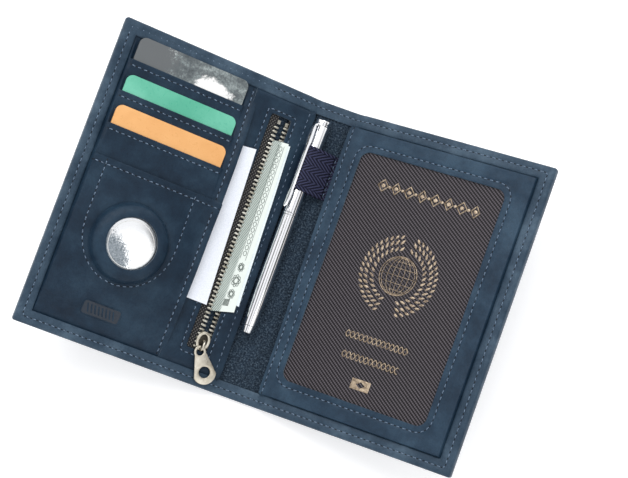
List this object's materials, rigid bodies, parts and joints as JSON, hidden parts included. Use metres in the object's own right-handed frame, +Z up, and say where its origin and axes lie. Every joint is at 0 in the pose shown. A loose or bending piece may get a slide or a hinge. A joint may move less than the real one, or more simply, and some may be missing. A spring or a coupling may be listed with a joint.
{
  "type": "passport holder",
  "caption": "Open leather passport holder with card slots, a zipped pocket, a round tracker pocket, a passport window and a pen loop, shown filled.",
  "frame": {"origin": "centre of the spine's flat outer face, on the table", "axes": "+Z up off the table, +X across the spine towards the passport side, +Y up the page"},
  "size_m": [0.2042, 0.143, 0.0427],
  "materials": {
    "outer_leather": "fine-grained, semi-matt",
    "inner_leather": "fine-grained, matt",
    "lining_cloth": "speckled brushed cloth",
    "board": "matt",
    "foil": "satin",
    "zip_tape": "woven",
    "zip_metal": "antique",
    "nickel": "satin nickel",
    "banknote_paper": "matt, printed",
    "white_paper": "matt",
    "white_plastic": "gloss",
    "circuit_board": "satin",
    "cell_steel": "satin",
    "tag_steel": "polished",
    "passport_cloth": "woven book cloth, gold print",
    "card_silver": "metallic, marbled",
    "card_green": "satin",
    "card_orange": "satin",
    "elastic": "ribbed elastic",
    "pen_chrome": "polished",
    "pen_brass": "satin",
    "refill_plastic": "satin"
  },
  "bodies": {
    "spine": {"spine_cover": "outer_leather", "spine_lining": "lining_cloth"},
    "left_cover": {"outer_cover_left": "outer_leather", "stiffener_left": "board", "rfid_shield_left": "foil", "lining_left": "lining_cloth", "zip_panel": "inner_leather", "zip_tape_outer": "zip_tape", "zip_tape_inner": "zip_tape", "zip_teeth_outer": "zip_metal", "zip_teeth_inner": "zip_metal", "zip_bottom_stop": "zip_metal", "zip_top_stop_outer": "zip_metal", "zip_top_stop_inner": "zip_metal", "banknotes": "banknote_paper", "paper_slip": "white_paper", "card_panel": "inner_leather", "tag_panel": "inner_leather", "tag_base": "white_plastic", "tag_circuit_board": "circuit_board", "tag_battery": "cell_steel", "tag_cap": "tag_steel"},
    "right_cover": {"outer_cover_right": "outer_leather", "stiffener_right": "board", "rfid_shield_right": "foil", "lining_right": "lining_cloth", "window_panel": "inner_leather", "passport_back_cover": "passport_cloth", "passport_pages": "white_paper", "passport_front_cover": "passport_cloth"},
    "card_top": {"card_top": "card_silver"},
    "card_middle": {"card_middle": "card_green"},
    "card_bottom": {"card_bottom": "card_orange"},
    "zip_slider": {"zip_slider": "nickel"},
    "pull_tab": {"pull_tab": "nickel"},
    "pen_loop": {"pen_loop": "elastic"},
    "pen": {"pen_upper_barrel": "pen_chrome", "pen_clip": "pen_chrome", "pen_finial": "pen_chrome", "pen_centre_ring": "pen_chrome", "pen_twist_sleeve": "pen_brass"},
    "pen_lower": {"pen_lower_barrel": "pen_chrome", "pen_nozzle": "pen_chrome"},
    "pen_refill": {"pen_refill": "refill_plastic", "pen_refill_tip": "pen_brass"}
  },
  "joints": [
    {"name": "left_fold", "type": "hinge", "parent": "spine", "child": "left_cover", "pos_m": [-0.01165, 0, 0], "axis": [0, -1, 0], "range_deg": [-65, 22]},
    {"name": "right_fold", "type": "hinge", "parent": "spine", "child": "right_cover", "pos_m": [0.01165, 0, 0], "axis": [0, 1, 0], "range_deg": [-65, 22]},
    {"name": "zip_slide", "type": "slide", "parent": "left_cover", "child": "zip_slider", "axis": [0, 1, 0], "range_m": [0, 0.1]},
    {"name": "pull_swing", "type": "hinge", "parent": "zip_slider", "child": "pull_tab", "pos_m": [-0.02136, -0.0533, 0.01066], "axis": [-0.9272, 0, 0.3746], "range_deg": [0, 160]},
    {"name": "card_top_slide", "type": "slide", "parent": "left_cover", "child": "card_top", "axis": [0.0079, 0.9998, 0.0197], "range_m": [0, 0.07]},
    {"name": "card_middle_slide", "type": "slide", "parent": "left_cover", "child": "card_middle", "axis": [0.0133, 0.9994, 0.033], "range_m": [0, 0.07]},
    {"name": "card_bottom_slide", "type": "slide", "parent": "left_cover", "child": "card_bottom", "axis": [0.0185, 0.9988, 0.0457], "range_m": [0, 0.07]},
    {"name": "loop_shift", "type": "slide", "parent": "spine", "child": "pen_loop", "axis": [1, 0, 0], "range_m": [-0.0016, 0.0046]},
    {"name": "pen_slide", "type": "slide", "parent": "pen_loop", "child": "pen", "axis": [0, 1, 0], "range_m": [0, 0.11]},
    {"name": "pen_twist", "type": "hinge", "parent": "pen", "child": "pen_lower", "pos_m": [-0.0048, 0, 0.0061], "axis": [0, 1, 0], "range_deg": [0, 180]},
    {"name": "refill_feed", "type": "slide", "parent": "pen", "child": "pen_refill", "axis": [0, -1, 0], "range_m": [0, 0.0045]}
  ],
  "couplings": [
    {"joint": "loop_shift", "follows": "left_fold", "m_per_rad": -0.0038785},
    {"joint": "refill_feed", "follows": "pen_twist", "m_per_rad": 0.0014323}
  ]
}
